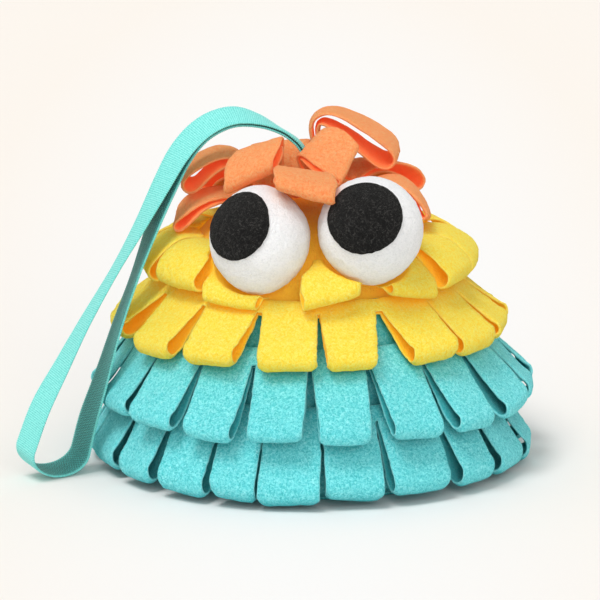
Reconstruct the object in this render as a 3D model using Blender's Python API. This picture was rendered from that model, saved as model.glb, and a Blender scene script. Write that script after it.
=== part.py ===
"""Plush snuffle toy: a stuffed fleece dome under tiers of folded, slit fleece loops, with two
stuffed eyes on its front, a crown of loose loops and a folded webbing hand strap."""

import math
import random

import bmesh
import bpy
from mathutils import Matrix, Vector

# Fabrics and the clearance between pieces that touch
CLEARANCE = 0.0003
FLEECE = 0.0023
FELT = 0.0014
WEBBING = 0.0018
LAYER_GAP = 0.0003

# Stuffed dome: an ellipse of revolution, cut off flat at the base
DOME_RADIUS = 0.114
WAIST_HEIGHT = 0.020
DOME_RISE = 0.168
DOME_HEIGHT = WAIST_HEIGHT + DOME_RISE
PANEL_SEAM_HEIGHT = 0.124
DOME_SEGMENTS = 28
SIDE_RINGS = 5
CAP_RINGS = 5

# Folded strips: shares along a strip from its seam to its fold, where rows of points lie.
# A band's second row is where its slits end.
STRIP_WIDTH = 0.040
BAND_ROW_SHARES = (0.0, 0.24, 0.62, 1.0)
LOOSE_ROW_SHARES = (0.0, 0.32, 0.66, 1.0)
FOLD_ANGLES = (60, 120)
SWELL_POWER = 1.6
SLIT_WIDTH = 0.0012

# The three sewn bands. Reach and drop run from the seam to the middle of the fold, and the
# opening is the inner width of the loop at its fold. The height is that of the seam.
LOWER_AQUA_HEIGHT = 0.060
LOWER_AQUA_REACH = 0.0260
LOWER_AQUA_DROP = 0.0472
LOWER_AQUA_OPENING = 0.0145
UPPER_AQUA_HEIGHT = 0.095
UPPER_AQUA_REACH = 0.0385
UPPER_AQUA_DROP = 0.0455
UPPER_AQUA_OPENING = 0.0100
LOWER_YELLOW_HEIGHT = 0.123
LOWER_YELLOW_REACH = 0.0325
LOWER_YELLOW_DROP = 0.0300
LOWER_YELLOW_OPENING = 0.0100
BAND_LIFT_SHARES = (0.50, 0.42)

# The strap leans on one side of the toy and presses the aqua loops in there
STRAP_SIDE = -76
PRESS_SPREAD = 26
LOWER_AQUA_PRESS = 0.0030
UPPER_AQUA_PRESS = 0.0070

# Left and right edges of the loops seen from the front, in degrees from straight ahead.
# Equal loops fill the rest of each band.
LOWER_AQUA_FRONT = (
    (-79, -63.4), (-59.1, -46.1), (-41.5, -28.1), (-25.3, -13.8), (-12.5, 2.6),
    (4.6, 19.1), (22.3, 38.5), (43.0, 54.3), (58.5, 73),
)
LOWER_AQUA_REST = 12
UPPER_AQUA_FRONT = (
    (-71, -57.7), (-52.4, -38.1), (-33.2, -20.6), (-15.5, -2),
    (2.7, 15.2), (22.2, 35), (40.9, 53.3), (60.3, 74),
)
UPPER_AQUA_REST = 12
LOWER_YELLOW_FRONT = (
    (-86, -70), (-59.6, -44.8), (-38.2, -22.3), (-14.3, 1.7),
    (5.5, 19.8), (31.6, 46.4), (50.3, 67),
)
LOWER_YELLOW_REST = 10
REST_GAP = 4.4

# Small differences from loop to loop within a band
VARY_SEED = 11
VARY_DROP = 0.0014
VARY_REACH = 0.0010
VARY_OPENING = 0.0016
VARY_TILT = 0.0012

# Loose yellow loops round the eyes: direction in degrees, seam height as a share of the
# dome's height, then, as shares of the dome's radius and height, how far the bend and the
# fold lie from the axis and how high they are, then the fold's opening and sideways shift
# as shares of the strip's width, and the roll of the fold in degrees.
YELLOW_LOOP_SHARES = (
    (-53, 0.800, 0.800, 0.830, 0.905, 0.712, 0.28, -0.02, 0),
    (-30, 0.777, 0.810, 0.756, 0.905, 0.670, 0.12, 0.03, -4),
    (9, 0.777, 0.810, 0.785, 0.912, 0.700, 0.18, -0.05, 15),
    (39, 0.780, 0.810, 0.780, 0.912, 0.690, 0.14, 0.04, -10),
    (63, 0.800, 0.800, 0.830, 0.915, 0.712, 0.28, 0.0, 0),
    (89, 0.800, 0.800, 0.820, 0.905, 0.710, 0.26, 0.05, 4),
    (117, 0.800, 0.800, 0.830, 0.915, 0.708, 0.24, -0.04, -3),
    (144, 0.800, 0.800, 0.820, 0.900, 0.712, 0.28, 0.03, 5),
    (172, 0.800, 0.800, 0.830, 0.912, 0.706, 0.22, 0.0, -4),
    (199, 0.800, 0.800, 0.820, 0.905, 0.714, 0.26, 0.04, 3),
    (226, 0.800, 0.800, 0.830, 0.915, 0.708, 0.28, -0.04, -5),
    (254, 0.800, 0.800, 0.820, 0.900, 0.712, 0.24, 0.02, 4),
    (281, 0.800, 0.800, 0.830, 0.910, 0.706, 0.26, 0.0, -3),
)
YELLOW_ROOT_SHARE = 0.70

# The eyes press on the yellow loops within this many degrees of straight ahead
EYE_SPAN = 60

# Loose orange loops of the crown: after its name, the direction in which each is sewn on,
# its seam height, the direction in which it points, and then the same values.
CROWN_LOOP_SHARES = (
    ("left_upper", -100, 0.962, -91, 0.440, 1.165, 0.680, 0.985, 0.28, 0.0, -5),
    ("left_lower", -78, 0.930, -90, 0.600, 0.965, 0.735, 0.858, 0.14, -0.10, -6),
    ("front_left", -62, 0.972, -22, 0.370, 1.290, 0.595, 1.085, 0.26, 0.06, 30),
    ("front_upper", 22, 0.989, 62, 0.150, 1.300, 0.360, 1.100, 0.18, -0.20, 22),
    ("front_lower", -4, 0.962, -4, 0.540, 1.160, 0.860, 1.070, 0.12, 0.0, -12),
    ("top", 150, 0.983, 90, -0.080, 1.370, 0.455, 1.070, 0.30, -0.05, 4),
    ("right", 80, 0.950, 88, 0.520, 1.050, 0.700, 0.885, 0.16, 0.0, 0),
    ("back_right", 132, 0.955, 132, 0.480, 1.045, 0.700, 0.930, 0.26, 0.0, -5),
    ("back_lower", 178, 0.955, 178, 0.470, 1.020, 0.690, 0.920, 0.28, 0.04, 1),
    ("back_left", -136, 0.955, -136, 0.480, 1.020, 0.700, 0.915, 0.26, 0.0, 4),
    ("back_upper", -160, 0.975, -160, 0.350, 1.160, 0.530, 1.045, 0.20, 0.0, -4),
)
CROWN_ROOT_SHARE = 0.45

# Eyes: balls that stand off the dome, each turning on its stitched seat. The seat has a
# direction in degrees and a height as a share of the dome's. The ball's centre stands off it
# by a share of the ball's radius.
EYE_SEGMENTS = 18
EYE_ROWS = 7
LEFT_EYE_RADIUS = 0.0350
LEFT_EYE_DIRECTION = -21.43
LEFT_SEAT_SHARE = 0.801
LEFT_STAND_SHARE = 0.530
LEFT_GAZE = (-0.498, -0.692, 0.523)
LEFT_PUPIL_RADIUS = 0.0225
RIGHT_EYE_RADIUS = 0.0353
RIGHT_EYE_DIRECTION = 25.99
RIGHT_SEAT_SHARE = 0.8125
RIGHT_STAND_SHARE = 0.7204
RIGHT_GAZE = (-0.107, -0.854, 0.508)
RIGHT_PUPIL_RADIUS = 0.0240
PUPIL_SEGMENTS = 22
PUPIL_RINGS = 3

# Webbing strap, folded in two and sewn into the crown. Each station of its middle line gives
# a place as shares of the strap's reach to the left and of the crest's height, then half the
# gap between its two layers as a share of the hand loop's half width, and the webbing's roll
# in degrees. The strap swings at one share of its length and bends at another, with a small
# gap between the pieces at each.
STRAP_WIDTH = 0.021
STRAP_OVERHANG = 0.056
STRAP_REACH = DOME_RADIUS + STRAP_OVERHANG
CREST_RISE = 0.0405
CREST_HEIGHT = DOME_HEIGHT + CREST_RISE
LOOP_HALF_WIDTH = 0.021
LOOP_TIP = 0.015
SWING_GAP = 0.0005
BEND_GAP = 0.0012
STRAP_ROUTE_SHARES = (
    (0.000, -0.012, 0.8350, 0.00, 0),
    (-0.006, -0.012, 0.8700, 0.00, 0),
    (-0.024, -0.012, 0.9000, 0.00, -2),
    (-0.053, -0.012, 0.9260, 0.00, -5),
    (-0.112, -0.014, 0.9560, 0.00, -7),
    (-0.194, -0.022, 0.9860, 0.00, 6),
    (-0.282, -0.040, 1.0000, 0.00, 21),
    (-0.365, -0.064, 0.9850, 0.00, 30),
    (-0.435, -0.088, 0.9500, 0.00, 35),
    (-0.494, -0.112, 0.8950, 0.03, 36),
    (-0.547, -0.141, 0.8190, 0.07, 31),
    (-0.620, -0.188, 0.7020, 0.15, 19),
    (-0.700, -0.240, 0.5770, 0.28, 11),
    (-0.790, -0.294, 0.4370, 0.46, 16),
    (-0.868, -0.318, 0.2980, 0.68, 26),
    (-0.932, -0.325, 0.1840, 0.90, 35),
    (-0.975, -0.322, 0.0806, 1.00, 37),
)
STRAP_HINGE_SHARE = 0.060
STRAP_BEND_SHARE = 0.245
STRAP_SPACING = 0.0120
BEND_SPACING = 0.0060
CURVE_STEPS = 12
END_STEPS = 4
TIP_STEPS = 8

AQUA = (0.110, 0.560, 0.600)
YELLOW = (0.960, 0.640, 0.040)
ORANGE = (0.930, 0.180, 0.050)
WHITE = (0.800, 0.800, 0.790)
BLACK = (0.010, 0.010, 0.010)
FIBRE = (0.700, 0.690, 0.660)
STRAP_AQUA = (0.070, 0.460, 0.400)


def clear_scene():
    """Remove whatever the file holds."""
    for old in list(bpy.data.objects):
        bpy.data.objects.remove(old, do_unlink=True)


def fabric(name, colour, roughness):
    """A plain cloth material."""
    made = bpy.data.materials.new(name)
    made.use_nodes = True
    shader = made.node_tree.nodes["Principled BSDF"]
    shader.inputs["Base Color"].default_value = (*colour, 1.0)
    shader.inputs["Roughness"].default_value = roughness
    shader.inputs["Metallic"].default_value = 0.0
    made.diffuse_color = (*colour, 1.0)
    return made


def add_object(name, shape, colour, roughness=0.95, origin=(0, 0, 0), parent=None):
    """Turn a bmesh in world places into a named object with its origin on its pivot."""
    origin = Vector(origin)
    bmesh.ops.recalc_face_normals(shape, faces=shape.faces)
    bmesh.ops.translate(shape, verts=shape.verts, vec=-origin)
    mesh = bpy.data.meshes.new(name)
    shape.to_mesh(mesh)
    shape.free()
    mesh.shade_smooth()
    mesh.set_sharp_from_angle(angle=math.radians(50))
    made = bpy.data.objects.new(name, mesh)
    bpy.context.scene.collection.objects.link(made)
    made.data.materials.append(fabric(name + "_fabric", colour, roughness))
    if parent is None:
        made.location = origin
    else:
        made.parent = parent
    return made


def add_pivot(name, place, parent=None):
    """An empty on a joint's axis."""
    pivot = bpy.data.objects.new(name, None)
    bpy.context.scene.collection.objects.link(pivot)
    pivot.location = Vector(place)
    if parent is not None:
        pivot.parent = parent
        pivot.location = Vector(place) - parent.location
    return pivot


def mix(start, end, share):
    return start + (end - start) * share


def dome_radius(height, inset=0.0):
    """Radius of the dome, or of a dome that much smaller all round, at a height."""
    level = (height - WAIST_HEIGHT) / (DOME_RISE - inset)
    return (DOME_RADIUS - inset) * math.sqrt(max(0.0, 1.0 - level * level))


def dome_normal(height):
    """Outward direction of the dome's surface, as radial and upward parts."""
    radial = dome_radius(height) / DOME_RADIUS ** 2
    upward = (height - WAIST_HEIGHT) / DOME_RISE ** 2
    return Vector((radial, upward)).normalized()


def outward(degrees):
    """Level direction away from the axis: 0 is the front, and plus turns to the right."""
    turn = math.radians(degrees)
    return Vector((math.sin(turn), -math.cos(turn), 0))


def sideways(degrees):
    """Level direction along a band, towards larger angles."""
    turn = math.radians(degrees)
    return Vector((math.cos(turn), math.sin(turn), 0))


def revolve(outline, segments, centre=(0, 0, 0), axis=(0, 0, 1)):
    """Turn a closed outline of (radius, height) points about an axis through a centre."""
    shape = bmesh.new()
    turn = Vector((0, 0, 1)).rotation_difference(Vector(axis)).to_matrix()
    rings = []
    for radius, height in outline:
        if radius == 0:
            point = shape.verts.new(Vector(centre) + turn @ Vector((0, 0, height)))
            rings.append([point] * segments)
            continue
        ring = []
        for step in range(segments):
            angle = 2 * math.pi * step / segments
            local = Vector((radius * math.cos(angle), radius * math.sin(angle), height))
            ring.append(shape.verts.new(Vector(centre) + turn @ local))
        rings.append(ring)
    for index, ring in enumerate(rings):
        following = rings[(index + 1) % len(rings)]
        for step in range(segments):
            after = (step + 1) % segments
            corners = [ring[step], ring[after], following[after], following[step]]
            kept = [v for place, v in enumerate(corners) if v not in corners[:place]]
            if len(kept) > 2:
                shape.faces.new(kept)
    return shape


def thick_sheet(rows, cells, thickness, wrap=False):
    """A closed sheet of cloth from rows of (point, normal), with only the given cells."""
    shape = bmesh.new()
    faces = {}
    for row, line in enumerate(rows):
        for column, (point, normal) in enumerate(line):
            front = shape.verts.new(point + normal * thickness / 2)
            back = shape.verts.new(point - normal * thickness / 2)
            faces[row, column] = (front, back)
    width = len(rows[0])
    borders = {}
    for row, column in cells:
        after = (column + 1) % width if wrap else column + 1
        ring = [(row, column), (row + 1, column), (row + 1, after), (row, after)]
        shape.faces.new([faces[key][0] for key in ring])
        shape.faces.new([faces[key][1] for key in reversed(ring)])
        for place, key in enumerate(ring):
            edge = (key, ring[(place + 1) % len(ring)])
            mirrored = (edge[1], edge[0])
            if mirrored in borders:
                del borders[mirrored]
            else:
                borders[edge] = True
    for first, second in borders:
        front_a, back_a = faces[first]
        front_b, back_b = faces[second]
        shape.faces.new([front_b, front_a, back_a, back_b])
    return shape


def fold_profile(root, lift, fold, opening, shares):
    """Rows of a folded strip, as (share along it, place, normal) in its upright plane.

    The inner layer runs from the seam down to the fold, and the outer layer runs back."""
    near = (FLEECE + LAYER_GAP) / 2
    far = (opening + FLEECE) / 2
    places = []
    for share in shares:
        left = 1 - share
        middle = root * left * left + lift * 2 * share * left + fold * share * share
        slope = (lift - root) * left + (fold - lift) * share
        along = slope.normalized()
        normal = Vector((-along.y, along.x))
        half = mix(near, far, share ** SWELL_POWER)
        places.append((share, middle, normal, half, along))
    rows = [(share, middle - normal * half, -normal) for share, middle, normal, half, _ in places]
    share, middle, normal, half, along = places[-1]
    for degrees in FOLD_ANGLES:
        turn = math.radians(degrees)
        away = along * math.sin(turn) - normal * math.cos(turn)
        rows.append((share, middle + away * half, away))
    for share, middle, normal, half, _ in reversed(places):
        rows.append((share, middle + normal * half, normal))
    return rows


def dome_outline(inset, bottom, rings, top=None):
    """Outline from a bottom edge up to a top edge or the pole, evenly round the ellipse."""
    rise = DOME_RISE - inset
    start = math.asin((bottom - WAIST_HEIGHT) / rise)
    end = math.pi / 2 if top is None else math.asin((top - WAIST_HEIGHT) / rise)
    points = []
    for ring in range(rings + 1):
        turn = mix(start, end, ring / rings)
        height = WAIST_HEIGHT + rise * math.sin(turn)
        points.append((dome_radius(height, inset), height))
    if top is None:
        points[-1] = (0, WAIST_HEIGHT + rise)
    return points


def cap_radius(height, degrees):
    """How far the facets of the crown cap reach at a height, in one direction."""
    points = dome_outline(0, PANEL_SEAM_HEIGHT + CLEARANCE, CAP_RINGS)
    pitch = 2 * math.pi / DOME_SEGMENTS
    aside = (math.radians(degrees) - math.pi / 2) % pitch
    aside = min(aside, pitch - aside)
    for (wide, low), (narrow, high) in zip(points, points[1:]):
        if height <= high:
            return mix(wide, narrow, (height - low) / (high - low)) * math.cos(aside)
    return 0


def seam_lift(along, normal):
    """How far a strip's middle lies off the dome, where two layers of it stand on its seam."""
    tilt = math.sqrt(max(0.0, 1 - along.dot(normal) ** 2))
    return CLEARANCE + (FLEECE + LAYER_GAP / 2) * tilt


def band_edges(front, rest):
    """Left and right edges, in degrees, of all the loops of a band."""
    edges = list(front)
    start = front[-1][1] + REST_GAP
    pitch = (front[0][0] + 360 - start) / rest
    for index in range(rest):
        left = start + index * pitch
        edges.append((left, left + pitch - REST_GAP))
    return edges


def band_shape(height, reach, drop, opening, press, front, rest, draw):
    """One fleece strip, folded lengthwise and slit from the fold, sewn round the dome."""
    edges = band_edges(front, rest)
    count = len(edges)
    columns = []
    for index, (left, right) in enumerate(edges):
        before = edges[index - 1][1] - (360 if index == 0 else 0)
        after = edges[(index + 1) % count][0] + (360 if index == count - 1 else 0)
        seam_left = (before + left) / 2
        seam_right = (right + after) / 2
        middle = (left + right) / 2
        own_drop = drop + draw.uniform(-VARY_DROP, VARY_DROP)
        aside = (middle - STRAP_SIDE + 180) % 360 - 180
        pressed = press * math.exp(-((aside / PRESS_SPREAD) ** 2))
        own_reach = reach - pressed + draw.uniform(-VARY_REACH, VARY_REACH)
        own_opening = opening + draw.uniform(-VARY_OPENING, VARY_OPENING)
        tilt = draw.uniform(-VARY_TILT, VARY_TILT)
        on = Vector((dome_radius(height), height))
        lift = on + Vector((own_reach * BAND_LIFT_SHARES[0], -own_drop * BAND_LIFT_SHARES[1]))
        normal = dome_normal(height)
        root = on + normal * seam_lift((lift - on).normalized(), normal)
        fold = on + Vector((own_reach, -own_drop))
        profile = fold_profile(root, lift, fold, own_opening, BAND_ROW_SHARES)
        slit = math.degrees(SLIT_WIDTH / 2 / root.x)
        for side, seam, edge in ((-1, seam_left + slit, left), (1, seam_right - slit, right)):
            column = []
            for share, place, normal in profile:
                angle = math.radians(mix(seam, edge, share) - middle)
                point = (
                    outward(middle) * place.x
                    + sideways(middle) * place.x * math.tan(angle)
                    + Vector((0, 0, place.y + side * tilt * share))
                )
                facing = outward(middle) * normal.x + Vector((0, 0, normal.y))
                column.append((point, facing))
            columns.append(column)
    rows = [[column[row] for column in columns] for row in range(len(columns[0]))]
    last = len(rows) - 2
    cells = []
    for row in range(len(rows) - 1):
        for column in range(len(columns)):
            if column % 2 == 0 or row in (0, last):
                cells.append((row, column))
    return thick_sheet(rows, cells, FLEECE, wrap=True)


def loop_shape(sewn, height_share, pointing, lift_shares, fold_shares, fold_values, root_share):
    """One loose strip folded into a loop, sewn to the dome in one direction of it and pointing
    in the same or another direction. Its seam lies along the dome's surface."""
    opening_share, shift_share, roll = fold_values
    height = height_share * DOME_HEIGHT
    radius = cap_radius(height, sewn)
    ahead = math.radians(sewn - pointing)
    out, side, up = outward(pointing), sideways(pointing), Vector((0, 0, 1))
    foot = Vector((radius * math.cos(ahead), height))
    lift = Vector((lift_shares[0] * DOME_RADIUS, lift_shares[1] * DOME_HEIGHT))
    fold = Vector((fold_shares[0] * DOME_RADIUS, fold_shares[1] * DOME_HEIGHT))
    upright = dome_normal(height)
    normal = outward(sewn) * upright.x + up * upright.y
    rise = (lift - foot).normalized()
    stand = normal * seam_lift(out * rise.x + up * rise.y, normal)
    root = foot + Vector((stand.dot(out), stand.z))
    start = radius * math.sin(ahead) + stand.dot(side)
    seam = (side - normal * side.dot(normal)).normalized()
    lean = math.degrees(math.atan2(seam.z, seam.dot(side)))
    profile = fold_profile(root, lift, fold, opening_share * STRIP_WIDTH, LOOSE_ROW_SHARES)
    rows = []
    for share, place, facing in profile:
        turn = Matrix.Rotation(math.radians(mix(lean, roll, share)), 3, out)
        across = turn @ side
        face = turn @ (out * facing.x + up * facing.y)
        half = STRIP_WIDTH / 2 * mix(root_share, 1.0, share)
        centre = out * place.x + up * place.y + side * (start + STRIP_WIDTH * shift_share * share)
        rows.append([(centre - across * half, face), (centre + across * half, face)])
    cells = [(row, 0) for row in range(len(rows) - 1)]
    return thick_sheet(rows, cells, FLEECE)


def cut_by(target, cutters):
    """Cut an object back from the eyes that press on it."""
    for cutter in cutters:
        trim = target.modifiers.new("clear_" + cutter.name, "BOOLEAN")
        trim.operation = "DIFFERENCE"
        trim.solver = "EXACT"
        trim.object = cutter


def make_body():
    """Base panel, cover and stuffing of the dome."""
    base = [
        (0, 0), (dome_radius(0), 0), (dome_radius(FLEECE), FLEECE), (0, FLEECE),
    ]
    add_object("base_panel", revolve(base, DOME_SEGMENTS), AQUA)

    floor = FLEECE + CLEARANCE
    outer = dome_outline(0, floor, SIDE_RINGS, PANEL_SEAM_HEIGHT)
    inner = dome_outline(FLEECE, floor, SIDE_RINGS, PANEL_SEAM_HEIGHT)
    add_object("body_side_panel", revolve(outer + inner[::-1], DOME_SEGMENTS), AQUA)
    outer = dome_outline(0, PANEL_SEAM_HEIGHT + CLEARANCE, CAP_RINGS)
    inner = dome_outline(FLEECE, PANEL_SEAM_HEIGHT + CLEARANCE, CAP_RINGS)
    add_object("crown_cap", revolve(outer + inner[::-1], DOME_SEGMENTS), ORANGE)
    inset = FLEECE + CLEARANCE
    filling = dome_outline(inset, floor, SIDE_RINGS, PANEL_SEAM_HEIGHT)
    filling += dome_outline(inset, PANEL_SEAM_HEIGHT + CLEARANCE, CAP_RINGS)
    add_object("body_stuffing", revolve([(0, floor)] + filling, DOME_SEGMENTS), FIBRE)


def make_bands():
    """The two aqua tiers and the sewn yellow tier."""
    draw = random.Random(VARY_SEED)
    tiers = (
        ("lower_aqua_band", LOWER_AQUA_HEIGHT, LOWER_AQUA_REACH, LOWER_AQUA_DROP,
         LOWER_AQUA_OPENING, LOWER_AQUA_PRESS, LOWER_AQUA_FRONT, LOWER_AQUA_REST, AQUA),
        ("upper_aqua_band", UPPER_AQUA_HEIGHT, UPPER_AQUA_REACH, UPPER_AQUA_DROP,
         UPPER_AQUA_OPENING, UPPER_AQUA_PRESS, UPPER_AQUA_FRONT, UPPER_AQUA_REST, AQUA),
        ("lower_yellow_band", LOWER_YELLOW_HEIGHT, LOWER_YELLOW_REACH, LOWER_YELLOW_DROP,
         LOWER_YELLOW_OPENING, 0, LOWER_YELLOW_FRONT, LOWER_YELLOW_REST, YELLOW),
    )
    for name, height, reach, drop, opening, press, front, rest, colour in tiers:
        shape = band_shape(height, reach, drop, opening, press, front, rest, draw)
        add_object(name, shape, colour)


def make_loose_loops(eye_cutters):
    """The yellow loops round the eyes and the orange crown."""
    for index, values in enumerate(YELLOW_LOOP_SHARES):
        degrees, seam, lift_out, lift_up, fold_out, fold_up, opening, shift, roll = values
        shape = loop_shape(degrees, seam, degrees, (lift_out, lift_up), (fold_out, fold_up),
                           (opening, shift, roll), YELLOW_ROOT_SHARE)
        made = add_object(f"upper_yellow_loop_{index + 1:02d}", shape, YELLOW)
        if abs(degrees) < EYE_SPAN:
            cut_by(made, eye_cutters)
    for values in CROWN_LOOP_SHARES:
        name, sewn, seam, pointing = values[:4]
        shape = loop_shape(sewn, seam, pointing, values[4:6], values[6:8], values[8:],
                           CROWN_ROOT_SHARE)
        made = add_object("crown_loop_" + name, shape, ORANGE)
        if name.startswith("front") or name in ("left_lower", "right"):
            cut_by(made, eye_cutters)


def ball_outline(radius, flat):
    """From the rim of the flat back of a ball round to its front pole."""
    start = math.asin(-flat / radius)
    points = []
    for row in range(EYE_ROWS):
        turn = mix(start, math.pi / 2, row / EYE_ROWS)
        points.append((radius * math.cos(turn), radius * math.sin(turn)))
    points.append((0, radius))
    return points


def pupil_shape(centre, gaze, eye_radius, radius):
    """A felt disc that follows the ball."""
    spread = math.asin(radius / eye_radius)
    facet = math.cos(spread / PUPIL_RINGS / 2) * math.cos(math.pi / PUPIL_SEGMENTS)
    inner = (eye_radius + CLEARANCE) / facet
    outer = inner + FELT
    turns = [spread * ring / PUPIL_RINGS for ring in range(PUPIL_RINGS + 1)]
    top = [(outer * math.sin(turn), outer * math.cos(turn)) for turn in turns[1:]]
    under = [(inner * math.sin(turn), inner * math.cos(turn)) for turn in turns[1:]]
    outline = [(0, outer)] + top + under[::-1] + [(0, inner)]
    return revolve(outline, PUPIL_SEGMENTS, centre, gaze)


def make_eye(side, direction, seat_share, stand_share, radius, gaze, pupil_radius):
    """Cover, stuffing and pupil of one eye, and the cutter that clears its ball."""
    height = seat_share * DOME_HEIGHT
    upright = dome_normal(height)
    axis = outward(direction) * upright.x + Vector((0, 0, upright.y))
    seat = outward(direction) * dome_radius(height) + Vector((0, 0, height))
    centre = seat + axis * radius * stand_share
    flat = radius * stand_share - CLEARANCE
    pivot = add_pivot(side + "_eye_seat", centre)
    outer = ball_outline(radius, flat)
    inner = ball_outline(radius - FLEECE, flat)
    cover = revolve(outer + inner[::-1], EYE_SEGMENTS, centre, axis)
    add_object(side + "_eye_cover", cover, WHITE, origin=centre, parent=pivot)
    filling = ball_outline(radius - FLEECE - CLEARANCE, flat)
    stuffing = revolve([(0, -flat)] + filling, EYE_SEGMENTS, centre, axis)
    add_object(side + "_eye_stuffing", stuffing, FIBRE, origin=centre, parent=pivot)
    pupil = pupil_shape(centre, gaze, radius, pupil_radius)
    add_object(side + "_eye_pupil", pupil, BLACK, origin=centre, parent=pivot)

    room = bmesh.new()
    bmesh.ops.create_icosphere(room, subdivisions=3, radius=radius + FELT + 2 * CLEARANCE)
    bmesh.ops.translate(room, verts=room.verts, vec=Vector(centre))
    cutter = add_object(side + "_eye_room", room, WHITE)
    cutter.hide_render = True
    cutter.display_type = "WIRE"
    return cutter


def strap_route():
    """The whole middle line as close stations: place, half gap, roll and distance along."""
    tight = (WEBBING + LAYER_GAP) / 2
    chosen = []
    for reach, depth, height, gap, roll in STRAP_ROUTE_SHARES:
        place = Vector((reach * STRAP_REACH, depth * STRAP_REACH, height * CREST_HEIGHT))
        chosen.append((place, tight + gap * LOOP_HALF_WIDTH, roll))
    last = len(chosen) - 1
    route = [(*chosen[0], 0.0)]
    for index in range(last):
        near = [chosen[max(index - 1, 0)], chosen[index], chosen[index + 1],
                chosen[min(index + 2, last)]]
        for step in range(1, CURVE_STEPS + 1):
            share = step / CURVE_STEPS
            values = [smooth(share, *[point[part] for point in near]) for part in range(3)]
            travelled = route[-1][3] + (values[0] - route[-1][0]).length
            route.append((*values, travelled))
    return route


def station_at(route, distance):
    """Place, half gap and roll at a distance along the route."""
    for before, after in zip(route, route[1:]):
        if after[3] >= distance:
            share = (distance - before[3]) / (after[3] - before[3])
            return tuple(mix(before[part], after[part], share) for part in range(3))
    return route[-1][:3]


def strap_stations(route, start, end, spacing):
    """Even stations between two distances along the route, each with the route's direction."""
    count = max(2, round((end - start) / spacing))
    stations = []
    for step in range(count + 1):
        distance = mix(start, end, step / count)
        before = station_at(route, max(distance - WEBBING, 0))[0]
        after = station_at(route, distance + WEBBING)[0]
        stations.append((*station_at(route, distance), (after - before).normalized()))
    return stations


def smooth(share, before, start, end, after):
    """A point on a smooth curve from start to end."""
    return (
        start * 2
        + (end - before) * share
        + (before * 2 - start * 5 + end * 4 - after) * share ** 2
        + (start * 3 - before - end * 3 + after) * share ** 3
    ) * 0.5


def ring_ribbon(stations, tip):
    """Webbing that runs out along the stations, turns round and comes back, as one ring."""
    outward_leg = []
    return_leg = []
    frames = []
    for place, half, roll, along in stations:
        back = Vector((0, 1, 0))
        back = (back - along * back.dot(along)).normalized()
        top = along.cross(back)
        turn = Matrix.Rotation(math.radians(-roll), 3, along)
        across = turn @ back
        face = turn @ top
        frames.append((along, across, face))
        outward_leg.append((place + face * half, face, across))
        return_leg.append((place - face * half, -face, across))
    place, half = stations[-1][:2]
    along, across, face = frames[-1]
    steps = TIP_STEPS if tip else END_STEPS
    reach = tip if tip else half
    end = []
    for step in range(1, steps):
        turn = math.pi * step / steps
        spot = place + face * half * math.cos(turn) + along * reach * math.sin(turn)
        facing = (face * math.cos(turn) * reach + along * math.sin(turn) * half).normalized()
        end.append((spot, facing, across))
    place, half = stations[0][:2]
    along, across, face = frames[0]
    start = []
    for step in range(1, END_STEPS):
        turn = math.pi * step / END_STEPS
        spot = place - face * half * math.cos(turn) - along * half * math.sin(turn)
        facing = -face * math.cos(turn) - along * math.sin(turn)
        start.append((spot, facing, across))
    path = outward_leg + end + return_leg[::-1] + start
    shape = bmesh.new()
    rings = []
    for spot, facing, across in path:
        side = across * STRAP_WIDTH / 2
        lift = facing * WEBBING / 2
        corners = (spot - side - lift, spot + side - lift, spot + side + lift, spot - side + lift)
        rings.append([shape.verts.new(corner) for corner in corners])
    for index, ring in enumerate(rings):
        following = rings[(index + 1) % len(rings)]
        for corner in range(4):
            after = (corner + 1) % 4
            shape.faces.new([ring[corner], ring[after], following[after], following[corner]])
    return shape


def make_strap():
    """Root, upper part and hand loop of the webbing strap.

    The parts' ends are round about the joints' axes, so that they turn without touching."""
    route = strap_route()
    length = route[-1][3]
    end_radius = WEBBING + LAYER_GAP / 2
    swing = STRAP_HINGE_SHARE * length
    fold = STRAP_BEND_SHARE * length
    root = strap_stations(route, 0, swing - 2 * end_radius - SWING_GAP, BEND_SPACING)
    upper = strap_stations(route, swing, fold - 2 * end_radius - BEND_GAP, BEND_SPACING)
    loop = strap_stations(route, fold, length, STRAP_SPACING)
    hinge = add_pivot("strap_hinge", upper[0][0])
    bend = add_pivot("strap_bend", loop[0][0], hinge)
    add_object("strap_root", ring_ribbon(root, 0), STRAP_AQUA, 0.7)
    add_object("strap_upper", ring_ribbon(upper, 0), STRAP_AQUA, 0.7, upper[0][0], hinge)
    add_object("strap_loop", ring_ribbon(loop, LOOP_TIP), STRAP_AQUA, 0.7, loop[0][0], bend)


def main():
    clear_scene()
    make_body()
    make_bands()
    eye_cutters = [
        make_eye("left", LEFT_EYE_DIRECTION, LEFT_SEAT_SHARE, LEFT_STAND_SHARE, LEFT_EYE_RADIUS,
                 LEFT_GAZE, LEFT_PUPIL_RADIUS),
        make_eye("right", RIGHT_EYE_DIRECTION, RIGHT_SEAT_SHARE, RIGHT_STAND_SHARE,
                 RIGHT_EYE_RADIUS, RIGHT_GAZE, RIGHT_PUPIL_RADIUS),
    ]
    make_loose_loops(eye_cutters)
    make_strap()


main()
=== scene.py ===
"""Looks of the plush snuffle toy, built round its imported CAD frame.

All lengths are in metres. The strips, eyes and strap follow the same named sizes as the CAD part,
with finer rows, rounder folds, fleece and webbing."""

import itertools
import math
import random

import bmesh
import bpy
import numpy as np
from mathutils import Matrix, Vector


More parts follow.
